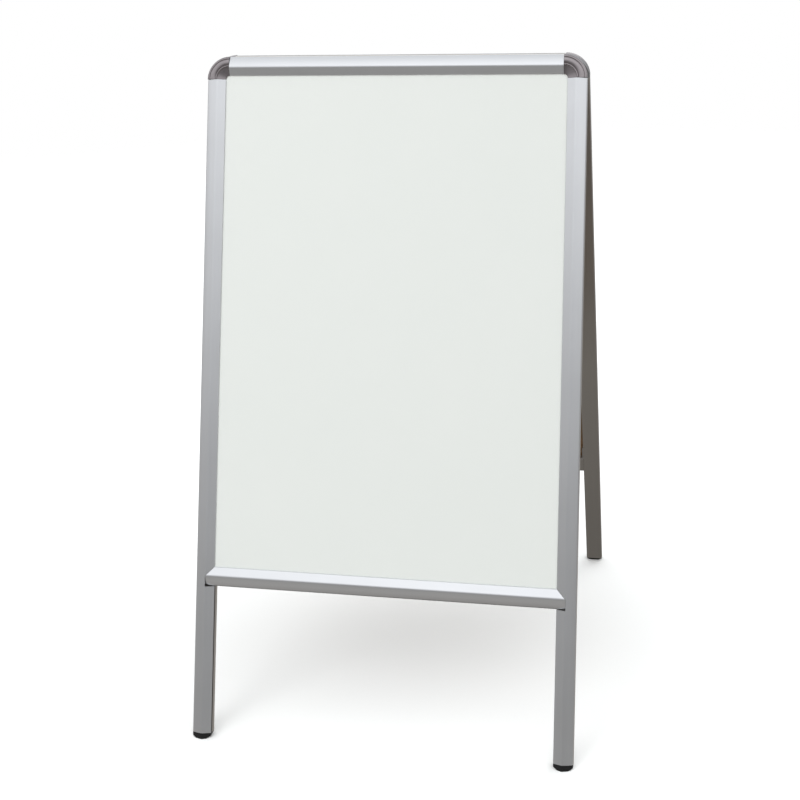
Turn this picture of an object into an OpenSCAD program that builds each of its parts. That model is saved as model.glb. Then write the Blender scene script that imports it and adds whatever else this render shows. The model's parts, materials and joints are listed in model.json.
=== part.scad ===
// Folding sandwich board: two aluminium snap frames for A1 posters, hinged at the top edge.
// World frame: +Z up, origin on the ground midway between the feet, front frame towards -Y.
// Frame coordinates: X across the frame, Y up along the legs from their cut ends,
// Z out of the poster's face, with Z = 0 on the face of the clear cover.
// Section coordinates: X inwards from the frame's outer edge, Y out of the poster's face.

/* [Poster] */
// Width of the A1 poster sheet
sheet_w = 594; // [420:1:841]
// Height of the A1 poster sheet
sheet_h = 841; // [594:1:1189]
// Overlap of the cover lips on each edge of the sheet
lip_overlap = 10; // [8:0.5:12]
// Thickness of the hardboard back panel
panel_t = 3; // [2.5:0.1:3.2]
// Thickness of the poster sheet
sheet_t = 0.4; // [0.2:0.1:0.6]
// Thickness of the clear cover
clear_t = 0.4; // [0.3:0.1:0.8]

/* [Profile] */
// Width of the extrusion seen from the front
profile_w = 32; // [32:0.5:40]
// Depth of the extrusion behind the poster's face
profile_d = 13; // [13:0.5:18]
// Wall thickness of the base extrusion
wall = 1.4; // [1.2:0.1:1.8]
// Thickness of the snap cover's skin
skin = 1.3; // [1:0.1:1.6]
// Slope of the snap cover's outer face at its hinge
hinge_slope = 22; // [20:1:24]
// Slope of the outer face where it meets the crest
crest_slope = 10; // [8:1:12]
// Slope of the inner face, from the crest to the lip
lip_slope = 19; // [17:1:20]
// Distance of the cover's crest from the outer edge
crest_in = 17.5; // [17:0.5:18.5]
// Radius of the rounded crest
crest_r = 8; // [6:0.5:10]

/* [Stand] */
// Length of each leg below the poster frame
leg_drop = 245; // [150:5:400]
// Angle of each frame from upright when the board is open
lean = 16; // [14:0.5:20]
// Radius of the rounded top corners
corner_r = 38; // [37:1:48]
// Height of the leg's cut end above the ground
foot_lift = 7.5; // [6:0.5:12]
// Distance of the stay pivots below the fold axis
stay_drop = 400; // [300:10:500]

/* [Hidden] */
$fn = 48;
fit = 0.1;        // gap around parts plugged into the extrusion
run = 0.06;       // radial gap of a pin in its bore
gap = 0.4;        // visible joint between neighbouring covers
film = 0.05;      // air between one sheet and the next

frame_w = sheet_w + 2 * (profile_w - lip_overlap);
frame_h = sheet_h + 2 * (profile_w - lip_overlap);
leg_len = frame_h + leg_drop;
half_w = frame_w / 2;
inner_x = half_w - profile_w;
rail_v = leg_drop;
corner_x = half_w - corner_r;
corner_v = leg_len - corner_r;
shelf = -(panel_t + sheet_t + clear_t + 2 * film);
back = -profile_d;

// snap hinge along the outer edge: bead on the base, hook on the cover
snap_at = [3, -1.2];
bead_r = 1.5;
hook_in_r = bead_r + run;
hook_out_r = 3;
flank_in_r = hook_out_r - 0.02;
seat_r = hook_out_r + 0.12;
stem_angle = -52;
stem_len = 4.2;
stem_t = 1;
hook_end = 190;
hook_end_on_leg = 150;

// walls and chambers of the base extrusion
edge_r = 1;
outer_step = [2, -3];
web = 1.7;
chamber_top = shelf - web;
chamber_low = back + wall;
key_chamber = [wall, 15];
free_chamber = [16.4, profile_w - wall];

// fold hinge: the axis lies between the frames' backs, just under their top edges
axis_off = 3.5;
axis_drop = 8;
hinge_x = 200;
leaf_t = 1.2;
leaf_w = 50;
leaf_h = 22;
knuckle_r = 3.2;
pin_r = 1.5;

// folding stays inside the legs
stay_w = -8.4;
stay_t = 2;
stay_half = 4;
stay_gap = 0.2;
stay_pin_r = 2;
stay_head_r = 3.8;
stay_head_h = 1.3;
stay_x = inner_x - 0.5;
stay_v = leg_len - axis_drop - stay_drop;
stay_off = stay_w - (back - axis_off);
link_len = stay_drop * sin(lean) + stay_off * cos(lean);

// placing of the frames: the fold axis is the world's X direction above the origin
frame_y = leg_len * sin(lean) - axis_drop * sin(lean) + (profile_d + axis_off) * cos(lean);

// ---- placing ----

// A frame at its open lean: the front one, or its mirror image behind
module on_frame(rear) {
    mirror([0, rear ? 1 : 0, 0])
        translate([0, -frame_y, foot_lift])
            rotate([90 - lean, 0, 0])
                children();
}

// side is -1 for the left and 1 for the right
module on_side(side) {
    mirror([side > 0 ? 1 : 0, 0, 0])
        children();
}

// A section swept up the left leg from v0 to v1
module leg_run(v0, v1) {
    translate([-half_w, v1, 0])
        rotate([90, 0, 0])
            linear_extrude(v1 - v0)
                children();
}

// A section swept across the bottom rail from x0 to x1
module rail_run(x0, x1) {
    translate([x0, rail_v, 0])
        rotate([90, 0, 90])
            linear_extrude(x1 - x0)
                children();
}

// The same across the top rail, whose outer edge is up
module top_run(x0, x1) {
    translate([0, leg_len + rail_v, 0])
        mirror([0, 1, 0])
            rail_run(x0, x1)
                children();
}

// Points on an arc; a run that joins on to another leaves out its first point
function arc(centre, r, a0, a1, steps, first = 0) =
    [for (i = [first : steps]) centre + r * direction(a0 + (a1 - a0) * i / steps)];

function direction(angle) = [cos(angle), sin(angle)];

// ---- sections ----

// The cover's outer face is an arc that flattens from its hinge towards the crest
face_start = snap_at + flank_in_r * direction(90 + hinge_slope);
face_run = crest_in - crest_r * sin(crest_slope) - face_start[0];
face_r = face_run / (sin(hinge_slope) - sin(crest_slope));
face_centre = face_start - face_r * direction(90 + hinge_slope);
crest_centre = face_centre + (face_r - crest_r) * direction(90 + crest_slope);
crest_h = crest_centre[1] + crest_r;
face_steps = 8;

lip_r = 1;
lip_bottom = 0.05;
lip_centre = [profile_w - lip_r, inner_face_h(profile_w - lip_r, lip_r)];
lip_inside = inner_face_h(profile_w - skin, skin);

// Height at x of the line that lies this deep under the inner face
function inner_face_h(x, depth) =
    crest_centre[1] + (crest_r - depth - (x - crest_in) * sin(lip_slope)) / cos(lip_slope);

// The visible outline of the snap cover, from its hinge to its inner lip
function cover_outline() = concat(
    arc(face_centre, face_r, 90 + hinge_slope, 90 + crest_slope, face_steps),
    arc(crest_centre, crest_r, 90 + crest_slope, 90 - lip_slope, face_steps, 1),
    arc(lip_centre, lip_r, 90 - lip_slope, 0, 4)
);

module cover_skin() {
    polygon(concat(
        cover_outline(),
        [[profile_w, lip_bottom], [profile_w - skin, lip_bottom], [profile_w - skin, lip_inside]],
        arc(crest_centre, crest_r - skin, 90 - lip_slope, 90 + crest_slope, face_steps),
        arc(face_centre, face_r - skin, 90 + crest_slope, 90 + hinge_slope, face_steps, 1)
    ));
}

// The hook that rolls on the bead, ending at the angle given
module cover_hook(end_angle) {
    reach = 3 * hook_out_r;
    open_end = 340;
    difference() {
        translate(snap_at)
            circle(hook_out_r);
        translate(snap_at)
            circle(hook_in_r);
        polygon(concat([snap_at], arc(snap_at, reach, end_angle, open_end, 4)));
    }
}

module base_section() {
    difference() {
        polygon(concat(
            arc([edge_r, back + edge_r], edge_r, 180, 270, 4),
            arc([profile_w - edge_r, back + edge_r], edge_r, 270, 360, 4),
            [[profile_w, shelf], [outer_step[0], shelf], outer_step, [0, outer_step[1]]]
        ));
        translate(snap_at)
            circle(seat_r);
        for (chamber = [key_chamber, free_chamber])
            translate([chamber[0], chamber_low])
                square([chamber[1] - chamber[0], chamber_top - chamber_low]);
    }
    translate(snap_at)
        circle(bead_r);
    translate(snap_at)
        rotate(stem_angle)
            translate([0, -stem_t / 2])
                square([stem_len, stem_t]);
}

// The closed outline of base and cover together
module envelope_section() {
    polygon(concat(
        cover_outline(),
        [[profile_w, back + edge_r], [profile_w - edge_r, back], [edge_r, back], [0, back + edge_r]],
        [[0, snap_at[1]]]
    ));
    translate(snap_at)
        circle(hook_out_r);
}

// A plug that fills a chamber with a small gap
module chamber_plug(chamber) {
    translate([chamber[0] + fit, chamber_low + fit])
        square([chamber[1] - chamber[0] - 2 * fit, chamber_top - chamber_low - 2 * fit]);
}

// ---- fasteners ----

// A low dome on the plane Z = 0, rising along +Z
module dome(r, h) {
    ball_r = (r * r + h * h) / (2 * h);
    intersection() {
        translate([0, 0, h - ball_r])
            sphere(ball_r);
        cylinder(r = r, h = h);
    }
}

// A rivet's head and tail, as multiples of its shank's radius, and the tail's height
head_wide = 1.9;
head_high = 0.6;
tail_wide = 1.4;
tail_h = 1.2;

// A blind rivet through a grip, head up on Z = 0, with its set tail below
module rivet(r, grip) {
    dome(head_wide * r, head_high * r);
    translate([0, 0, -grip])
        cylinder(r = r, h = grip);
    translate([0, 0, -grip - tail_h])
        cylinder(r = tail_wide * r, h = tail_h);
}

// A hole for a rivet or screw, through the plane Z = 0
module shank_hole(r, depth) {
    above = 1;
    translate([0, 0, -depth])
        cylinder(r = r + run, h = depth + above);
}

// Places along the parts where fasteners sit
through_wall = wall + 1;
screw_r = 1.6;
screw_len = 6;
screw_head_r = 3;
screw_head_h = 1.6;
screw_in = (key_chamber[0] + key_chamber[1]) / 2;
screw_run = 22;
tang_len = 45;
rivet_r = 1.6;
leaf_rivets = [-18, 0, 18];
leaf_rivet_in = 22;
bracket_t = 2;
bracket_len = 28;
bracket_fillet = 1.5;
bracket_rivet = 16;
bracket_w = [-12.5, -4.5];

// The corner screws' places on the frame's back, facing into it
module at_corner_screws() {
    for (side = [-1, 1])
        on_side(side) {
            translate([-half_w + screw_in, corner_v - screw_run, back])
                mirror([0, 0, 1])
                    children();
            translate([-corner_x + screw_run, leg_len - screw_in, back])
                mirror([0, 0, 1])
                    children();
        }
}

module at_leaf_rivets(depth) {
    for (side = [-1, 1], at = leaf_rivets)
        translate([side * hinge_x + at, leg_len - leaf_rivet_in, depth])
            mirror([0, 0, 1])
                children();
}

// Rivets of the bottom rail's brackets: into the leg, then into the rail
module at_bracket_rivets(lift) {
    mid = (bracket_w[0] + bracket_w[1]) / 2;
    for (side = [-1, 1])
        on_side(side) {
            translate([-inner_x + lift, rail_v + profile_w + bracket_rivet, mid])
                rotate([0, 90, 0])
                    children();
            translate([-inner_x + bracket_rivet, rail_v + profile_w + lift, mid])
                rotate([-90, 0, 0])
                    children();
        }
}

// The stay pivots on the legs' inner walls, facing inwards
module at_stay_pivots(lift) {
    for (side = [-1, 1])
        on_side(side)
            translate([-inner_x + lift, stay_v, stay_w])
                rotate([0, 90, 0])
                    children();
}

// ---- frame parts ----

module leg(side) {
    color([0.72, 0.72, 0.73])
        difference() {
            on_side(side)
                leg_run(0, corner_v)
                    base_section();
            at_corner_screws()
                shank_hole(screw_r, through_wall);
            at_bracket_rivets(0)
                shank_hole(rivet_r, through_wall);
            at_stay_pivots(0)
                shank_hole(stay_pin_r, through_wall);
        }
}

module top_rail() {
    color([0.72, 0.72, 0.73])
        difference() {
            top_run(-corner_x, corner_x)
                base_section();
            at_corner_screws()
                shank_hole(screw_r, through_wall);
            at_leaf_rivets(back)
                shank_hole(rivet_r, through_wall);
        }
}

module bottom_rail() {
    color([0.72, 0.72, 0.73])
        difference() {
            rail_run(-inner_x, inner_x)
                base_section();
            at_bracket_rivets(0)
                shank_hole(rivet_r, through_wall);
        }
}

crest_x = half_w - crest_in;

// Where the bottom cover lies on a leg: mitred above its crest, square below
module mitre_plan(grow) {
    slant = grow * sqrt(2);
    over = 1;
    translate([0, 0, -profile_d])
        linear_extrude(2 * profile_d)
            polygon([
                [-inner_x + over, rail_v - grow],
                [-crest_x - grow, rail_v - grow],
                [-crest_x - grow, rail_v + crest_in - grow + slant],
                [-inner_x + over, rail_v + profile_w + over + slant]
            ]);
}

module leg_cover(side) {
    color([0.78, 0.79, 0.81])
        on_side(side)
            difference() {
                union() {
                    leg_run(gap, corner_v - gap)
                        cover_skin();
                    leg_run(gap, corner_v - gap)
                        cover_hook(hook_end);
                }
                mitre_plan(gap);
            }
}

module top_cover() {
    color([0.78, 0.79, 0.81])
        union() {
            top_run(-corner_x + gap, corner_x - gap)
                cover_skin();
            top_run(-corner_x + gap, corner_x - gap)
                cover_hook(hook_end);
        }
}

module bottom_cover() {
    reach = inner_x - gap;
    color([0.78, 0.79, 0.81])
        union() {
            rail_run(-reach, reach)
                cover_skin();
            rail_run(-reach, reach)
                cover_hook(hook_end);
            for (side = [-1, 1])
                on_side(side)
                    intersection() {
                        union() {
                            rail_run(-half_w, -reach)
                                cover_skin();
                            rail_run(-half_w, -reach)
                                cover_hook(hook_end_on_leg);
                        }
                        mitre_plan(0);
                    }
        }
}

// Corner caps: their top lies just above the covers' crest
cap_h = crest_h + 0.2;
cap_wall = 2.2;
cap_rim_r = 3.4;
cap_rim_h = cap_h - 1.2;
cap_band_r = 14;
cap_band_in = 28.5;
cap_band_h = cap_h - 0.6;
cap_band_half = 17;
cap_bead_r = 1.4;
cap_bead_in = 21.8;
cap_groove_h = cap_h - 1.9;
peg_r = 2.5;
peg_at = 30;
peg_depth = 5;
peg_top = cap_h - 2.2;

// Cap section: X is the distance from the corner's centre, Y out of the poster's face.
// From the outside in: rounded rim, groove, crowned band, groove, bead, and a face down to the lip.
module cap_section() {
    rim_end = 100;
    rim_foot = 1.3;
    bead_end = 20;
    bead_foot = 0.5;
    face_drop = 1.5;
    thick = 1.7;
    inner_r = corner_r - profile_w;
    inside_h = cap_groove_h - thick;
    rim = [corner_r - cap_rim_r, cap_rim_h - cap_rim_r];
    band = [cap_band_in, cap_band_h - cap_band_r];
    bead = [cap_bead_in, cap_h - cap_bead_r];
    face_r = cap_bead_in - cap_bead_r - bead_foot;
    polygon(concat(
        [[corner_r, shelf]],
        arc(rim, cap_rim_r, 0, rim_end, 10),
        [[rim[0] - rim_foot, cap_groove_h]],
        arc(band, cap_band_r, 90 - cap_band_half, 90 + cap_band_half, 8),
        [[cap_bead_in + cap_bead_r + bead_foot, cap_groove_h]],
        arc(bead, cap_bead_r, bead_end, 180 - bead_end, 8),
        [[face_r, cap_h - face_drop]],
        arc([inner_r + lip_r, lip_centre[1]], lip_r, 90 + crest_slope, 180, 4),
        [[inner_r, lip_bottom], [inner_r + skin, lip_bottom], [inner_r + skin, lip_inside]],
        [[face_r - skin, inside_h], [rim[0] - lip_r, inside_h]],
        arc(rim, cap_rim_r - cap_wall, 90, 0, 4),
        [[corner_r - cap_wall, shelf]]
    ));
}

// Places on a top-left corner, turned about the corner's centre
module on_corner(angle, r, depth) {
    translate([-corner_x, corner_v, depth])
        rotate([0, 0, 180 - angle])
            translate([r, 0, 0])
                children();
}

module corner_cap(side) {
    color([0.42, 0.41, 0.43])
        on_side(side) {
            translate([-corner_x, corner_v, 0])
                rotate([0, 0, 90])
                    rotate_extrude(angle = 90, $fn = 96)
                        cap_section();
            on_corner(45, peg_at, shelf - peg_depth)
                cylinder(r = peg_r, h = peg_top - shelf + peg_depth);
        }
}

module corner_joints() {
    root = 0.5;
    color([0.55, 0.55, 0.57])
        for (side = [-1, 1])
            on_side(side)
                difference() {
                    union() {
                        translate([-corner_x, corner_v, 0])
                            rotate([0, 0, 90])
                                rotate_extrude(angle = 90, $fn = 96)
                                    translate([corner_r - profile_w, back])
                                        square([profile_w, shelf - back]);
                        leg_run(corner_v - tang_len, corner_v + root)
                            chamber_plug(key_chamber);
                        top_run(-corner_x - root, -corner_x + tang_len)
                            chamber_plug(key_chamber);
                    }
                    on_corner(45, peg_at, shelf - peg_depth - root)
                        cylinder(r = peg_r + fit, h = peg_depth + 2 * root);
                    at_corner_screws()
                        shank_hole(screw_r, screw_len + 1);
                }
}

module corner_screws() {
    slot_len = 3;
    slot_w = 0.7;
    slot_depth = 0.8;
    color([0.6, 0.6, 0.62])
        at_corner_screws()
            difference() {
                union() {
                    dome(screw_head_r, screw_head_h);
                    translate([0, 0, -screw_len])
                        cylinder(r = screw_r, h = screw_len);
                }
                for (turn = [0, 90])
                    rotate(turn)
                        translate([-slot_len / 2, -slot_w / 2, screw_head_h - slot_depth])
                            cube([slot_len, slot_w, 2 * slot_depth]);
            }
}

module rail_brackets() {
    width = bracket_w[1] - bracket_w[0];
    color([0.62, 0.63, 0.64])
        difference() {
            for (side = [-1, 1])
                on_side(side)
                    translate([-inner_x, rail_v + profile_w, bracket_w[0]])
                        linear_extrude(width)
                            polygon([
                                [0, 0], [bracket_len, 0], [bracket_len, bracket_t],
                                [bracket_t + bracket_fillet, bracket_t],
                                [bracket_t, bracket_t + bracket_fillet],
                                [bracket_t, bracket_len], [0, bracket_len]
                            ]);
            at_bracket_rivets(bracket_t)
                shank_hole(rivet_r, bracket_t + 1);
        }
}

module bracket_rivets() {
    color([0.66, 0.66, 0.68])
        at_bracket_rivets(bracket_t)
            rivet(rivet_r, bracket_t + wall);
}

// A sheet centred in the frame, smaller than the poster by trim on each edge
module sheet(trim, low, thick) {
    translate([-sheet_w / 2 + trim, rail_v + profile_w - lip_overlap + trim, low])
        cube([sheet_w - 2 * trim, sheet_h - 2 * trim, thick]);
}

module back_panel() {
    trim = 1;
    color([0.38, 0.31, 0.23])
        sheet(trim, shelf, panel_t);
}

module poster_sheet() {
    color([0.9, 0.9, 0.9])
        sheet(0, shelf + panel_t + film, sheet_t);
}

module clear_cover() {
    trim = 0.5;
    color([0.86, 0.9, 0.9], 0.35)
        sheet(trim, -clear_t, clear_t);
}

// A bowed leaf spring in the hollow between base and cover
module spring_section() {
    strip = 0.5;
    bow_r = 7.4;
    bow_angle = 86;
    mid = 14.6;
    centre = [mid, shelf + fit - (bow_r - strip) * cos(bow_angle)];
    polygon(concat(
        arc(centre, bow_r, 90 + bow_angle, 90 - bow_angle, 12),
        arc(centre, bow_r - strip, 90 - bow_angle, 90 + bow_angle, 12)
    ));
}

// Their places along each side are fractions of its length
module cover_springs() {
    spring_len = 18;
    leg_places = [0.16, 0.5, 0.84];
    rail_places = [-0.25, 0.25];
    color([0.5, 0.52, 0.56]) {
        for (side = [-1, 1], at = leg_places)
            on_side(side)
                leg_run(rail_v + frame_h * at, rail_v + frame_h * at + spring_len)
                    spring_section();
        for (at = rail_places) {
            top_run(frame_w * at - spring_len / 2, frame_w * at + spring_len / 2)
                spring_section();
            rail_run(frame_w * at - spring_len / 2, frame_w * at + spring_len / 2)
                spring_section();
        }
    }
}

// The end cap's silhouette from the front: flat on the ground, its lower corners chamfered
module foot_outline() {
    chamfer = [6.5, 3.5];
    outer = -half_w;
    inner = -inner_x;
    low = -foot_lift;
    polygon([
        [outer, low + chamfer[1]], [outer + chamfer[0], low], [inner - chamfer[0], low],
        [inner, low + chamfer[1]], [inner, leg_drop], [outer, leg_drop]
    ]);
}

module foot(side) {
    plug_len = 25;
    plug_root = 1;
    color([0.06, 0.06, 0.065])
        on_side(side)
            intersection() {
                union() {
                    leg_run(-3 * foot_lift, 0)
                        envelope_section();
                    for (chamber = [key_chamber, free_chamber])
                        leg_run(-plug_root, plug_len)
                            chamber_plug(chamber);
                }
                rotate([lean, 0, 0])
                    translate([0, 0, -leg_drop])
                        linear_extrude(2 * leg_drop)
                            foot_outline();
            }
}

// ---- fold hinge ----

axis_v = leg_len - axis_drop;
axis_w = back - axis_off;
knuckle_split = 9;

module knuckle(x0, x1) {
    translate([x0, axis_v, axis_w])
        rotate([0, 90, 0])
            cylinder(r = knuckle_r, h = x1 - x0);
}

// Both leaves of one frame: the front ones carry the outer knuckles, the rear ones the middle one
module hinge_leaves(rear) {
    bite = 0.2;
    relief = 0.4;
    tuck = 1;
    spans = rear ? [[-knuckle_split + bite, knuckle_split - bite]]
                 : [[-leaf_w / 2, -knuckle_split], [knuckle_split, leaf_w / 2]];
    color([0.62, 0.63, 0.64])
        difference() {
            for (side = [-1, 1])
                translate([side * hinge_x, 0, 0]) {
                    translate([-leaf_w / 2, axis_v - leaf_h, back - leaf_t])
                        cube([leaf_w, leaf_h - knuckle_r - relief, leaf_t]);
                    for (span = spans) {
                        translate([span[0], axis_v - knuckle_r - tuck, back - leaf_t])
                            cube([span[1] - span[0], knuckle_r + tuck, leaf_t]);
                        knuckle(span[0], span[1]);
                    }
                }
            translate([-half_w, axis_v, axis_w])
                rotate([0, 90, 0])
                    cylinder(r = pin_r + run, h = frame_w);
            at_leaf_rivets(back - leaf_t)
                shank_hole(rivet_r, leaf_t + 1);
        }
}

module hinge_rivets() {
    color([0.66, 0.66, 0.68])
        at_leaf_rivets(back - leaf_t)
            rivet(rivet_r, leaf_t + wall);
}

module hinge_pins() {
    head_r = 2.4;
    head_h = 0.9;
    color([0.7, 0.7, 0.72])
        for (side = [-1, 1])
            translate([side * hinge_x, axis_v, axis_w])
                rotate([0, 90, 0]) {
                    translate([0, 0, -leaf_w / 2])
                        cylinder(r = pin_r, h = leaf_w);
                    translate([0, 0, leaf_w / 2])
                        dome(head_r, head_h);
                    translate([0, 0, -leaf_w / 2])
                        mirror([0, 0, 1])
                            dome(head_r, head_h);
                }
}

// ---- folding stays ----

// Shoulder rivets that hold the links; the rear ones stand further off the leg
module stay_rivets(rear) {
    stand_off = rear ? inner_x - stay_x + stay_t + stay_gap : inner_x - stay_x;
    color([0.66, 0.66, 0.68])
        at_stay_pivots(0) {
            translate([0, 0, -wall - tail_h])
                cylinder(r = tail_wide * stay_pin_r, h = tail_h);
            translate([0, 0, -wall])
                cylinder(r = stay_pin_r, h = wall + stand_off + stay_t + stay_gap);
            cylinder(r = stay_half, h = stand_off - fit);
            translate([0, 0, stand_off + stay_t + fit])
                dome(stay_head_r, stay_head_h);
        }
}

// World places of a stay: pivot height, and the link running level from leg to middle
stay_z = foot_lift + stay_v * cos(lean) + stay_w * sin(lean);
link_in = [stay_x, stay_x - stay_t - stay_gap];

// Front link at x from link_in[0], rear link beside it, both level when the board is open
module stay_link(side, rear) {
    x_out = link_in[rear ? 1 : 0];
    color([0.64, 0.65, 0.66])
        mirror([0, rear ? 1 : 0, 0])
            on_side(side)
                difference() {
                    translate([-x_out, 0, stay_z])
                        rotate([0, 90, 0])
                            linear_extrude(stay_t)
                                difference() {
                                    union() {
                                        translate([-stay_half, -link_len])
                                            square([2 * stay_half, link_len]);
                                        circle(stay_half);
                                        translate([0, -link_len])
                                            circle(stay_half);
                                    }
                                    circle(stay_pin_r + run);
                                    translate([0, -link_len])
                                        circle(stay_pin_r + run);
                                }
                }
}

// Half of the middle rivet: one on each link, meeting when the stay is straight or folded
module knuckle_rivet(side, rear) {
    x_out = link_in[rear ? 1 : 0];
    color([0.66, 0.66, 0.68])
        on_side(side)
            translate([-x_out, 0, stay_z])
                rotate([0, 90, 0]) {
                    cylinder(r = stay_pin_r, h = stay_t);
                    if (rear)
                        translate([0, 0, stay_t])
                            dome(stay_head_r, stay_head_h);
                }
}

// ---- one frame's nodes ----

module frame_nodes(name, rear) {
    on_frame(rear) leg(-1);
    on_frame(rear) leg(1);
    on_frame(rear) top_rail();
    on_frame(rear) bottom_rail();
    on_frame(rear) leg_cover(-1);
    on_frame(rear) leg_cover(1);
    on_frame(rear) top_cover();
    on_frame(rear) bottom_cover();
    on_frame(rear) corner_cap(-1);
    on_frame(rear) corner_cap(1);
    on_frame(rear) corner_joints();
    on_frame(rear) corner_screws();
    on_frame(rear) rail_brackets();
    on_frame(rear) bracket_rivets();
    on_frame(rear) back_panel();
    on_frame(rear) poster_sheet();
    on_frame(rear) clear_cover();
    on_frame(rear) cover_springs();
    on_frame(rear) foot(-1);
    on_frame(rear) foot(1);
    on_frame(rear) hinge_leaves(rear);
    on_frame(rear) hinge_rivets();
    on_frame(rear) stay_rivets(rear);
}

frame_nodes("front", false);
frame_nodes("rear", true);
on_frame(false) hinge_pins();
stay_link(-1, false);  // left_front_stay_link
stay_link(1, false);  // right_front_stay_link
stay_link(-1, true);  // left_rear_stay_link
stay_link(1, true);  // right_rear_stay_link
knuckle_rivet(-1, false);  // left_front_knuckle_rivet
knuckle_rivet(1, false);  // right_front_knuckle_rivet
knuckle_rivet(-1, true);  // left_rear_knuckle_rivet
knuckle_rivet(1, true);  // right_rear_knuckle_rivet
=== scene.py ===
"""Looks of the folding sandwich board: materials, softened edges, floor, studio light and camera.

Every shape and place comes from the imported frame. Lengths are metres, angles degrees, colours linear RGB.
"""

import json
import math

import bpy
from mathutils import Matrix, Vector

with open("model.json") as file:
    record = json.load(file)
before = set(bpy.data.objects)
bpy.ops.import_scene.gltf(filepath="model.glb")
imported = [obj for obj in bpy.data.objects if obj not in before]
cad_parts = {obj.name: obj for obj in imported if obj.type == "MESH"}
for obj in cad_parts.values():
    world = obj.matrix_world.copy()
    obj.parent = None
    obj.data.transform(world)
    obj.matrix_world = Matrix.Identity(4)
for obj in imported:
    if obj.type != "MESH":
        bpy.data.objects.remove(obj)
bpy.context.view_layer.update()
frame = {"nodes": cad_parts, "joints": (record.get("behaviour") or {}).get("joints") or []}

MM = 0.001
ENDS = ("front", "rear")
MIDDLE = (0, 0, 0.6)


# ---- node building ----

def add(tree, kind, inputs=None, **settings):
    """A node of this kind. Inputs are values or output sockets, by name or by number."""
    node = tree.nodes.new(kind)
    for name, value in settings.items():
        setattr(node, name, value)
    for key, value in (inputs or {}).items():
        socket = node.inputs[key]
        if isinstance(value, bpy.types.NodeSocket):
            tree.links.new(value, socket)
        else:
            socket.default_value = value
    return node


def maths(tree, operation, a, b=0.0):
    """One Math node's result."""
    return add(tree, "ShaderNodeMath", {0: a, 1: b}, operation=operation).outputs[0]


def dot(tree, a, b):
    """The dot product of a vector socket and an axis."""
    return add(tree, "ShaderNodeVectorMath", {0: a, 1: b}, operation="DOT_PRODUCT").outputs["Value"]


def remap(tree, value, low, high, to_low=0.0, to_high=1.0, smooth=False):
    """A value mapped from one range to another, clamped at both ends."""
    kind = "SMOOTHSTEP" if smooth else "LINEAR"
    inputs = {"Value": value, "From Min": low, "From Max": high, "To Min": to_low, "To Max": to_high}
    return add(tree, "ShaderNodeMapRange", inputs, interpolation_type=kind, clamp=True).outputs["Result"]


def blend_colour(tree, amount, a, b, mode="MIX"):
    """Colour a turning into colour b as amount goes from 0 to 1."""
    node = add(tree, "ShaderNodeMix", data_type="RGBA", blend_type=mode)
    for key, value in ((0, amount), (6, a), (7, b)):
        if isinstance(value, bpy.types.NodeSocket):
            tree.links.new(value, node.inputs[key])
        else:
            node.inputs[key].default_value = value
    return node.outputs[2]


def noise(tree, where, scale, detail=3.0, roughness=0.5):
    """Noise from 0 to 1 at this many cells a metre."""
    inputs = {"Vector": where, "Scale": scale, "Detail": detail, "Roughness": roughness}
    return add(tree, "ShaderNodeTexNoise", inputs).outputs["Fac"]


def bump(tree, height, distance, strength):
    """A normal from a height, where 1 in height is this distance."""
    inputs = {"Height": height, "Distance": distance, "Strength": strength}
    return add(tree, "ShaderNodeBump", inputs).outputs["Normal"]


def local_place(tree):
    """The point in the piece's own coordinates, so that a pattern stays with the piece as it moves."""
    return add(tree, "ShaderNodeTexCoord").outputs["Object"]


def stretched(tree, where, along, squeeze):
    """Coordinates squeezed along one axis, so that a pattern drawn on them is long in that direction."""
    along = Vector(along).normalized()
    side = along.orthogonal().normalized()
    other = along.cross(side)
    inputs = {0: dot(tree, where, side), 1: dot(tree, where, other)}
    inputs[2] = maths(tree, "MULTIPLY", dot(tree, where, along), squeeze)
    return add(tree, "ShaderNodeCombineXYZ", inputs).outputs[0]


def tinted(value, tint):
    """A metal's colour, from its brightness and its tint."""
    return (value * tint[0], value * tint[1], value * tint[2], 1)


def new_material(name):
    """An empty node material and its tree."""
    material = bpy.data.materials.new(name)
    material.use_nodes = True
    tree = material.node_tree
    tree.nodes.clear()
    return material, tree


def surface(tree, shader):
    """Ends a material with this shader."""
    tree.links.new(shader, add(tree, "ShaderNodeOutputMaterial").inputs["Surface"])


def principled(tree, inputs):
    """The general surface shader with these inputs."""
    return add(tree, "ShaderNodeBsdfPrincipled", inputs).outputs[0]


# ---- materials ----

SILVER = (0.985, 0.995, 1.02)
# Warm tint for the base extrusions: painted warm shade, since they sit in shadow between the frames and
# behind the covers.
SHADED_BASE_TINT = (1.02, 0.98, 0.93)


def anodised(name, along, tone, roughness, tint):
    """Extruded, satin anodised aluminium: fine die lines along the run and faint clouding."""
    material, tree = new_material(name)
    place = local_place(tree)
    lines = noise(tree, stretched(tree, place, along, 0.004), 2600, 2.0, 0.6)
    wide_lines = noise(tree, stretched(tree, place, along, 0.01), 420, 2.0)
    clouds = noise(tree, place, 14, 4.0)
    shade = maths(tree, "MULTIPLY", maths(tree, "ADD", lines, wide_lines), 0.5)
    base = blend_colour(tree, shade, tinted(tone * 0.988, tint), tinted(tone * 1.012, tint))
    base = blend_colour(tree, remap(tree, clouds, 0.35, 0.7), base, tinted(tone * 0.97, tint))
    rough = remap(tree, shade, 0.3, 0.7, roughness - 0.03, roughness + 0.03)
    surface(tree, principled(tree, {
        "Base Color": base,
        "Metallic": 1.0,
        "Roughness": rough,
        "Normal": bump(tree, shade, 0.002 * MM, 0.6),
    }))
    return material


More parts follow.
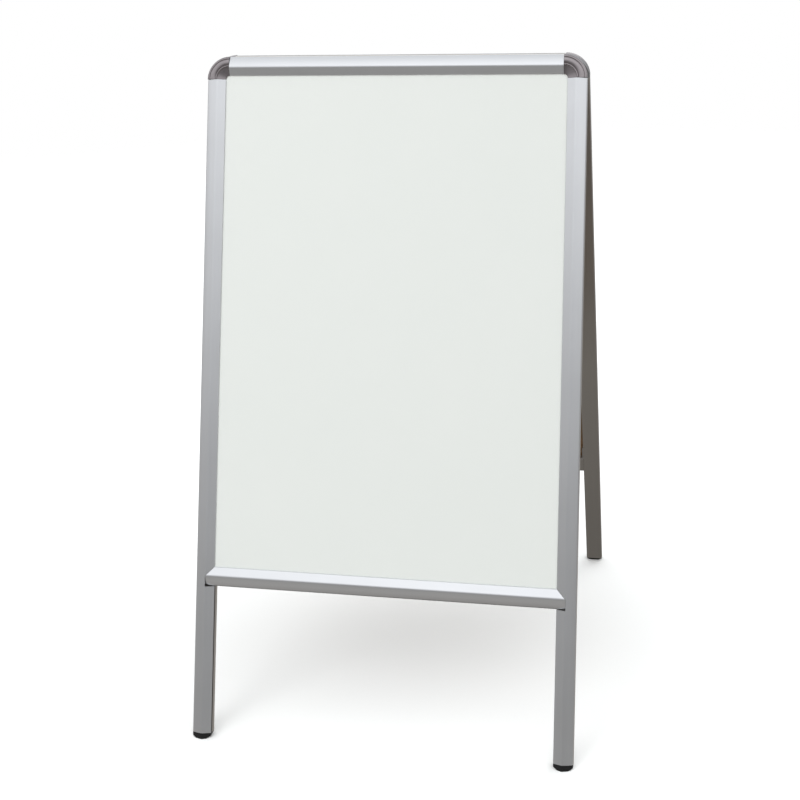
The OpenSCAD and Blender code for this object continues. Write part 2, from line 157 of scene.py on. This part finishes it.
def dark_chrome():
    """Smoky plated caps: a mirror-like grey-violet skin over a slightly uneven casting."""
    material, tree = new_material("dark_chrome_plate")
    place = local_place(tree)
    smudge = noise(tree, place, 90, 3.0)
    ripple = noise(tree, place, 260, 2.0)
    base = blend_colour(tree, smudge, (0.25, 0.225, 0.23, 1), (0.36, 0.325, 0.335, 1))
    surface(tree, principled(tree, {
        "Base Color": base,
        "Metallic": 1.0,
        "Roughness": remap(tree, smudge, 0.3, 0.7, 0.10, 0.20),
        "Normal": bump(tree, ripple, 0.02 * MM, 0.5),
        "Coat Weight": 0.3,
        "Coat Roughness": 0.08,
    }))
    return material


def moulded(name, colour, light, roughness, grain, depth):
    """Moulded plastic with a fine spark-eroded grain."""
    material, tree = new_material(name)
    place = local_place(tree)
    pits = noise(tree, place, grain, 2.0, 0.7)
    swirl = noise(tree, place, 45, 3.0)
    surface(tree, principled(tree, {
        "Base Color": blend_colour(tree, swirl, colour, light),
        "Roughness": remap(tree, swirl, 0.3, 0.7, roughness - 0.05, roughness + 0.07),
        "Normal": bump(tree, pits, depth, 0.7),
        "IOR": 1.5,
    }))
    return material


def zinc_steel():
    """Zinc-plated pressed steel, with small crystal patches and fine rolling marks."""
    material, tree = new_material("zinc_plate")
    place = local_place(tree)
    cells = add(tree, "ShaderNodeTexVoronoi", {"Vector": place, "Scale": 420.0})
    patch = maths(tree, "FRACT", maths(tree, "MULTIPLY", dot(tree, cells.outputs["Color"], (1, 1, 1)), 1.7))
    marks = noise(tree, place, 900, 3.0, 0.7)
    base = blend_colour(tree, patch, (0.52, 0.53, 0.54, 1), (0.64, 0.65, 0.65, 1))
    surface(tree, principled(tree, {
        "Base Color": blend_colour(tree, remap(tree, marks, 0.5, 0.8), base, (0.42, 0.42, 0.40, 1)),
        "Metallic": 1.0,
        "Roughness": remap(tree, patch, 0, 1, 0.30, 0.44),
        "Normal": bump(tree, marks, 0.02 * MM, 0.6),
    }))
    return material


def spring_steel():
    """Blued spring strip in patches of straw and blue, with fine rolling marks."""
    material, tree = new_material("blued_spring")
    place = local_place(tree)
    heat = noise(tree, place, 60, 2.0)
    marks = noise(tree, stretched(tree, place, (0, 0, 1), 0.02), 1500)
    surface(tree, principled(tree, {
        "Base Color": blend_colour(tree, heat, (0.30, 0.33, 0.42, 1), (0.44, 0.40, 0.34, 1)),
        "Metallic": 1.0,
        "Roughness": remap(tree, marks, 0.3, 0.7, 0.22, 0.36),
        "Normal": bump(tree, marks, 0.01 * MM, 0.5),
    }))
    return material


def hardboard():
    """Brown pressed fibre: matted fibres in two crossing directions, with darker blotches."""
    material, tree = new_material("brown_hardboard")
    place = local_place(tree)
    fibres = noise(tree, stretched(tree, place, (1, 0, 0.35), 0.12), 700, 5.0, 0.7)
    crossing = noise(tree, stretched(tree, place, (0.3, 0, 1), 0.15), 600, 4.0, 0.7)
    blotch = noise(tree, place, 22, 4.0)
    felt = maths(tree, "MULTIPLY", maths(tree, "ADD", fibres, crossing), 0.5)
    base = blend_colour(tree, remap(tree, felt, 0.35, 0.65), (0.15, 0.085, 0.040, 1), (0.32, 0.20, 0.105, 1))
    base = blend_colour(tree, remap(tree, blotch, 0.4, 0.75), base, (0.20, 0.13, 0.075, 1))
    surface(tree, principled(tree, {
        "Base Color": base,
        "Roughness": remap(tree, felt, 0.3, 0.7, 0.62, 0.85),
        "Normal": bump(tree, felt, 0.15 * MM, 0.7),
    }))
    return material


def poster_paper():
    """Bright white coated paper with the faintest mottling and a few dust specks."""
    material, tree = new_material("white_paper")
    place = local_place(tree)
    mottle = noise(tree, place, 9, 4.0)
    tooth = noise(tree, place, 1400, 2.0)
    dust = add(tree, "ShaderNodeTexVoronoi", {"Vector": place, "Scale": 34.0}).outputs["Distance"]
    base = blend_colour(tree, mottle, (0.773, 0.789, 0.782, 1), (0.792, 0.801, 0.795, 1))
    base = blend_colour(tree, remap(tree, dust, 0.012, 0.03, 0.35, 0.0), base, (0.45, 0.47, 0.47, 1))
    surface(tree, principled(tree, {
        "Base Color": base,
        "Roughness": 0.7,
        "Specular IOR Level": 0.12,
        "Normal": bump(tree, tooth, 0.01 * MM, 0.4),
    }))
    return material


def clear_plastic():
    """A thin clear sheet: it lets light through, and the outer side of its slightly wavy skin reflects."""
    material, tree = new_material("clear_sheet")
    place = local_place(tree)
    waves = noise(tree, place, 5, 2.0)
    scuffs = noise(tree, stretched(tree, place, (0.2, 0, 1), 0.05), 500, 3.0)
    normal = bump(tree, waves, 0.4 * MM, 0.4)
    rough = remap(tree, scuffs, 0.45, 0.8, 0.3, 0.42)
    gloss = add(tree, "ShaderNodeBsdfGlossy", {"Roughness": rough, "Normal": normal}).outputs[0]
    through = add(tree, "ShaderNodeBsdfTransparent", {"Color": (0.99, 0.995, 0.992, 1)}).outputs[0]
    edge = add(tree, "ShaderNodeFresnel", {"IOR": 1.45, "Normal": normal}).outputs[0]
    behind = add(tree, "ShaderNodeNewGeometry").outputs["Backfacing"]
    facing = maths(tree, "SUBTRACT", 1.0, behind)
    share = maths(tree, "MULTIPLY", maths(tree, "MULTIPLY", edge, facing), 0.7)
    surface(tree, add(tree, "ShaderNodeMixShader", {0: share, 1: through, 2: gloss}).outputs[0])
    return material


def floor_paper(fade_from, fade_to):
    """Pale studio paper that fades out into the backdrop, so that no edge shows."""
    material, tree = new_material("studio_paper")
    place = local_place(tree)
    distance = add(tree, "ShaderNodeVectorMath", {0: place}, operation="LENGTH").outputs["Value"]
    tooth = noise(tree, place, 160, 3.0)
    paper = principled(tree, {
        "Base Color": blend_colour(tree, tooth, (0.93, 0.93, 0.93, 1), (0.95, 0.95, 0.95, 1)),
        "Roughness": 0.9,
        "Specular IOR Level": 0.0,
    })
    clear = add(tree, "ShaderNodeBsdfTransparent").outputs[0]
    gone = remap(tree, distance, fade_from, fade_to, smooth=True)
    surface(tree, add(tree, "ShaderNodeMixShader", {0: gone, 1: paper, 2: clear}).outputs[0])
    return material


# ---- finishing the carried-over pieces ----

def run_axis(end, part):
    """The direction of an extrusion's run: up the leg, or across for a rail."""
    side = {"leg": "left", "rail": "top"}[part]
    for joint in frame["joints"]:
        if joint["name"] == f"{end}_{side}_cover_snap":
            return Vector(joint["axis"])
    raise ValueError("the frame has no snap joint for " + end + " " + part)


def soften(obj, width):
    """Joins the faces of a carried-over mesh again and rounds its sharp edges."""
    mesh = obj.data
    if "custom_normal" in mesh.attributes:
        mesh.attributes.remove(mesh.attributes["custom_normal"])
    mesh.shade_smooth()
    weld = obj.modifiers.new("weld", "WELD")
    weld.merge_threshold = 0.002 * MM
    planar = obj.modifiers.new("planar", "DECIMATE")
    planar.decimate_type = "DISSOLVE"
    planar.angle_limit = math.radians(0.3)
    bevel = obj.modifiers.new("edges", "BEVEL")
    bevel.width = width
    bevel.segments = 2
    bevel.limit_method = "ANGLE"
    bevel.angle_limit = math.radians(32)
    bevel.miter_outer = "MITER_ARC"
    bevel.harden_normals = False
    weighted = obj.modifiers.new("weighted", "WEIGHTED_NORMAL")
    weighted.keep_sharp = True
    weighted.weight = 60


def finish_nodes():
    """Gives each CAD node its material and its softened edges, their radius in millimetres."""
    base = {}
    cover = {}
    for end in ENDS:
        for part in ("leg", "rail"):
            along = run_axis(end, part)
            # The base extrusions get a darker, warmer copy of the cover's aluminium: painted shade on their
            # inner walls and backs.
            base[end, part] = anodised(f"base_{end}_{part}", along, 0.60, 0.38, SHADED_BASE_TINT)
            cover[end, part] = anodised(f"cover_{end}_{part}", along, 0.80, 0.31, SILVER)
    zinc = zinc_steel()
    joint_dark, joint_light = (0.17, 0.17, 0.18, 1), (0.22, 0.22, 0.23, 1)
    foot_dark, foot_light = (0.004, 0.004, 0.0045, 1), (0.009, 0.009, 0.01, 1)
    finishes = {
        "corner_cap": (dark_chrome(), 0.25),
        "corner_joints": (moulded("grey_joint", joint_dark, joint_light, 0.5, 900, 0.05 * MM), 0.3),
        "corner_screws": (zinc, 0.1),
        "rail_brackets": (zinc, 0.2),
        "bracket_rivets": (zinc, 0.1),
        "back_panel": (hardboard(), 0.2),
        "poster_sheet": (poster_paper(), 0.0),
        "clear_cover": (clear_plastic(), 0.0),
        "cover_springs": (spring_steel(), 0.0),
        "foot": (moulded("black_plastic", foot_dark, foot_light, 0.28, 700, 0.03 * MM), 0.35),
        "hinge_leaves": (zinc, 0.2),
        "hinge_rivets": (zinc, 0.1),
        "hinge_pins": (zinc, 0.1),
        "stay_rivets": (zinc, 0.1),
        "stay_link": (zinc, 0.2),
        "knuckle_rivet": (zinc, 0.0),
    }
    for name, obj in frame["nodes"].items():
        end = "rear" if name.startswith("rear") else "front"
        part = "leg" if "left" in name or "right" in name else "rail"
        if name.endswith(("_leg", "_rail")):
            material, radius = base[end, part], 0.2
        elif name.endswith("_cover") and "clear" not in name:
            material, radius = cover[end, part], 0.2
        else:
            kind = next(kind for kind in finishes if name.endswith(kind))
            material, radius = finishes[kind]
        obj.data.materials.clear()
        obj.data.materials.append(material)
        if radius:
            soften(obj, radius * MM)


# ---- floor, light and camera ----

def make_floor():
    """A round sheet of studio paper, a little below the feet, its rim far from the object."""
    radius = 7.0
    depth = 0.2 * MM
    mesh = bpy.data.meshes.new("floor")
    rings = [0.8, 1.6, 3.0, radius]
    steps = 64
    points = [(0, 0, 0)]
    faces = []
    for r in rings:
        for i in range(steps):
            turn = 2 * math.pi * i / steps
            points.append((r * math.cos(turn), r * math.sin(turn), 0))
    for i in range(steps):
        j = (i + 1) % steps
        faces.append((0, 1 + i, 1 + j))
        for ring in range(len(rings) - 1):
            a = 1 + ring * steps
            faces.append((a + i, a + steps + i, a + steps + j, a + j))
    mesh.from_pydata(points, [], faces)
    floor = bpy.data.objects.new("floor", mesh)
    bpy.context.scene.collection.objects.link(floor)
    floor.location.z = -depth
    mesh.materials.append(floor_paper(0.45 * radius, 0.95 * radius))
    floor.visible_glossy = False
    floor.visible_diffuse = False


def soft_box(tree, direction, aim, spread, strength):
    """A round soft light in the sky: full within its core round aim, gone at spread degrees from it."""
    core = 5
    facing = dot(tree, direction, Vector(aim).normalized())
    low = math.cos(math.radians(spread))
    high = math.cos(math.radians(core))
    return remap(tree, facing, low, high, 0.0, strength, smooth=True)


def sky(tree, direction, stops):
    """Colour by height in the sky, from (sine of the elevation, colour) stops."""
    ramp = add(tree, "ShaderNodeValToRGB", {"Fac": remap(tree, dot(tree, direction, (0, 0, 1)), -1, 1)})
    ramp.color_ramp.interpolation = "EASE"
    elements = ramp.color_ramp.elements
    while len(elements) < len(stops):
        elements.new(0.5)
    for element, (height, colour) in zip(elements, stops):
        element.position = height / 2 + 0.5
        element.color = (*colour, 1)
    return ramp.outputs["Color"]


def make_world():
    """A white backdrop for the camera, a pale dome for diffuse light, and a studio of soft boxes
    over a dark warm floor for what the metal reflects.

    Each soft box is (aim, spread in degrees, strength) and has a twin behind the object.
    """
    world = bpy.data.worlds.new("studio")
    bpy.context.scene.world = world
    world.use_nodes = True
    tree = world.node_tree
    tree.nodes.clear()
    direction = add(tree, "ShaderNodeTexCoord").outputs["Generated"]
    room = sky(tree, direction, [
        (-1.0, (0.040, 0.037, 0.034)),
        (-0.88, (0.13, 0.123, 0.114)),
        (-0.74, (0.27, 0.257, 0.240)),
        (-0.50, (0.42, 0.41, 0.395)),
        (-0.25, (0.285, 0.28, 0.27)),
        (-0.10, (0.243, 0.241, 0.235)),
        (0.04, (0.318, 0.32, 0.322)),
        (0.16, (0.39, 0.395, 0.40)),
        (0.30, (0.68, 0.69, 0.705)),
        (0.45, (0.92, 0.94, 0.96)),
        (0.64, (1.02, 1.04, 1.06)),
        (0.95, (0.73, 0.75, 0.77)),
    ])
    boxes = [
        ((-0.92, -0.35, 0.18), 28, 0.19),
        ((-0.58, -0.74, 0.33), 34, 0.10),
        ((-0.03, -0.71, 0.70), 28, 0.24),
        ((0.61, -0.67, 0.42), 28, 0.18),
    ]
    glow = 0.0
    for (x, y, z), spread, strength in boxes:
        for turn in (1, -1):
            aim = (turn * x, turn * y, z)
            glow = maths(tree, "ADD", soft_box(tree, direction, aim, spread, strength), glow)
    soft = blend_colour(tree, 1.0, room, glow, "ADD")
    mirror = add(tree, "ShaderNodeBackground", {"Color": soft, "Strength": 1.0}).outputs[0]
    air = sky(tree, direction, [
        (-1.0, (0.34, 0.31, 0.28)),
        (-0.1, (0.46, 0.43, 0.40)),
        (0.15, (0.82, 0.83, 0.82)),
        (0.5, (0.96, 0.98, 0.98)),
    ])
    dome = add(tree, "ShaderNodeBackground", {"Color": air, "Strength": 1.3}).outputs[0]
    backdrop = add(tree, "ShaderNodeBackground", {"Color": (1, 1, 1, 1), "Strength": 1.0}).outputs[0]
    rays = add(tree, "ShaderNodeLightPath").outputs
    lit = add(tree, "ShaderNodeMixShader", {0: rays["Is Glossy Ray"], 1: dome, 2: mirror}).outputs[0]
    seen = add(tree, "ShaderNodeMixShader", {0: rays["Is Camera Ray"], 1: lit, 2: backdrop}).outputs[0]
    tree.links.new(seen, add(tree, "ShaderNodeOutputWorld").inputs["Surface"])


def area_light(name, place, target, size, power):
    """A large soft light aimed at a point, not seen in reflections."""
    data = bpy.data.lights.new(name, "AREA")
    data.shape = "DISK"
    data.size = size
    data.energy = power
    lamp = bpy.data.objects.new(name, data)
    bpy.context.scene.collection.objects.link(lamp)
    lamp.location = place
    lamp.rotation_mode = "QUATERNION"
    lamp.rotation_quaternion = (Vector(target) - Vector(place)).to_track_quat("-Z", "Y")
    lamp.visible_glossy = False


def shift_at_home(camera, home, axis, amount):
    """Lens shift along one axis that holds only while the camera stands at its home viewpoint."""
    curve = camera.data.driver_add("shift_" + axis)
    for modifier in list(curve.modifiers):
        curve.modifiers.remove(modifier)
    curve.driver.type = "SUM"
    moved = curve.driver.variables.new()
    moved.type = "LOC_DIFF"
    moved.targets[0].id = camera
    moved.targets[1].id = home
    for distance, value in ((0, amount), (0.01, amount), (0.02, 0)):
        point = curve.keyframe_points.insert(distance, value)
        point.interpolation = "LINEAR"


def make_camera():
    """A standing viewer's camera, a little right of centre, turned left and looking down."""
    place = Vector((0.468, -1.806, 1.247))
    yaw, pitch, roll = (math.radians(a) for a in (9.10, 15.46, 1.25))
    level = Vector((math.cos(yaw), math.sin(yaw), 0))
    ahead = Vector((-math.sin(yaw), math.cos(yaw), 0))
    forward = ahead * math.cos(pitch) - Vector((0, 0, math.sin(pitch)))
    steep = ahead * math.sin(pitch) + Vector((0, 0, math.cos(pitch)))
    right = level * math.cos(roll) - steep * math.sin(roll)
    up = level * math.sin(roll) + steep * math.cos(roll)
    data = bpy.data.cameras.new("camera")
    data.sensor_width = 36
    data.lens = 50
    camera = bpy.data.objects.new("camera", data)
    turn = Matrix((right, up, -forward)).transposed()
    camera.matrix_world = Matrix.Translation(place) @ turn.to_4x4()
    home = bpy.data.objects.new("viewpoint", None)
    home.location = place
    for obj in (camera, home):
        bpy.context.scene.collection.objects.link(obj)
    shift_at_home(camera, home, "x", -0.134)
    shift_at_home(camera, home, "y", -0.171)
    bpy.context.scene.camera = camera


finish_nodes()
make_floor()
make_world()
area_light("key", (-1.6, -2.6, 2.8), MIDDLE, 2.2, 26)
area_light("rim", (1.8, 2.4, 2.4), MIDDLE, 2.2, 20)
make_camera()
bpy.context.scene.view_settings.view_transform = "Standard"
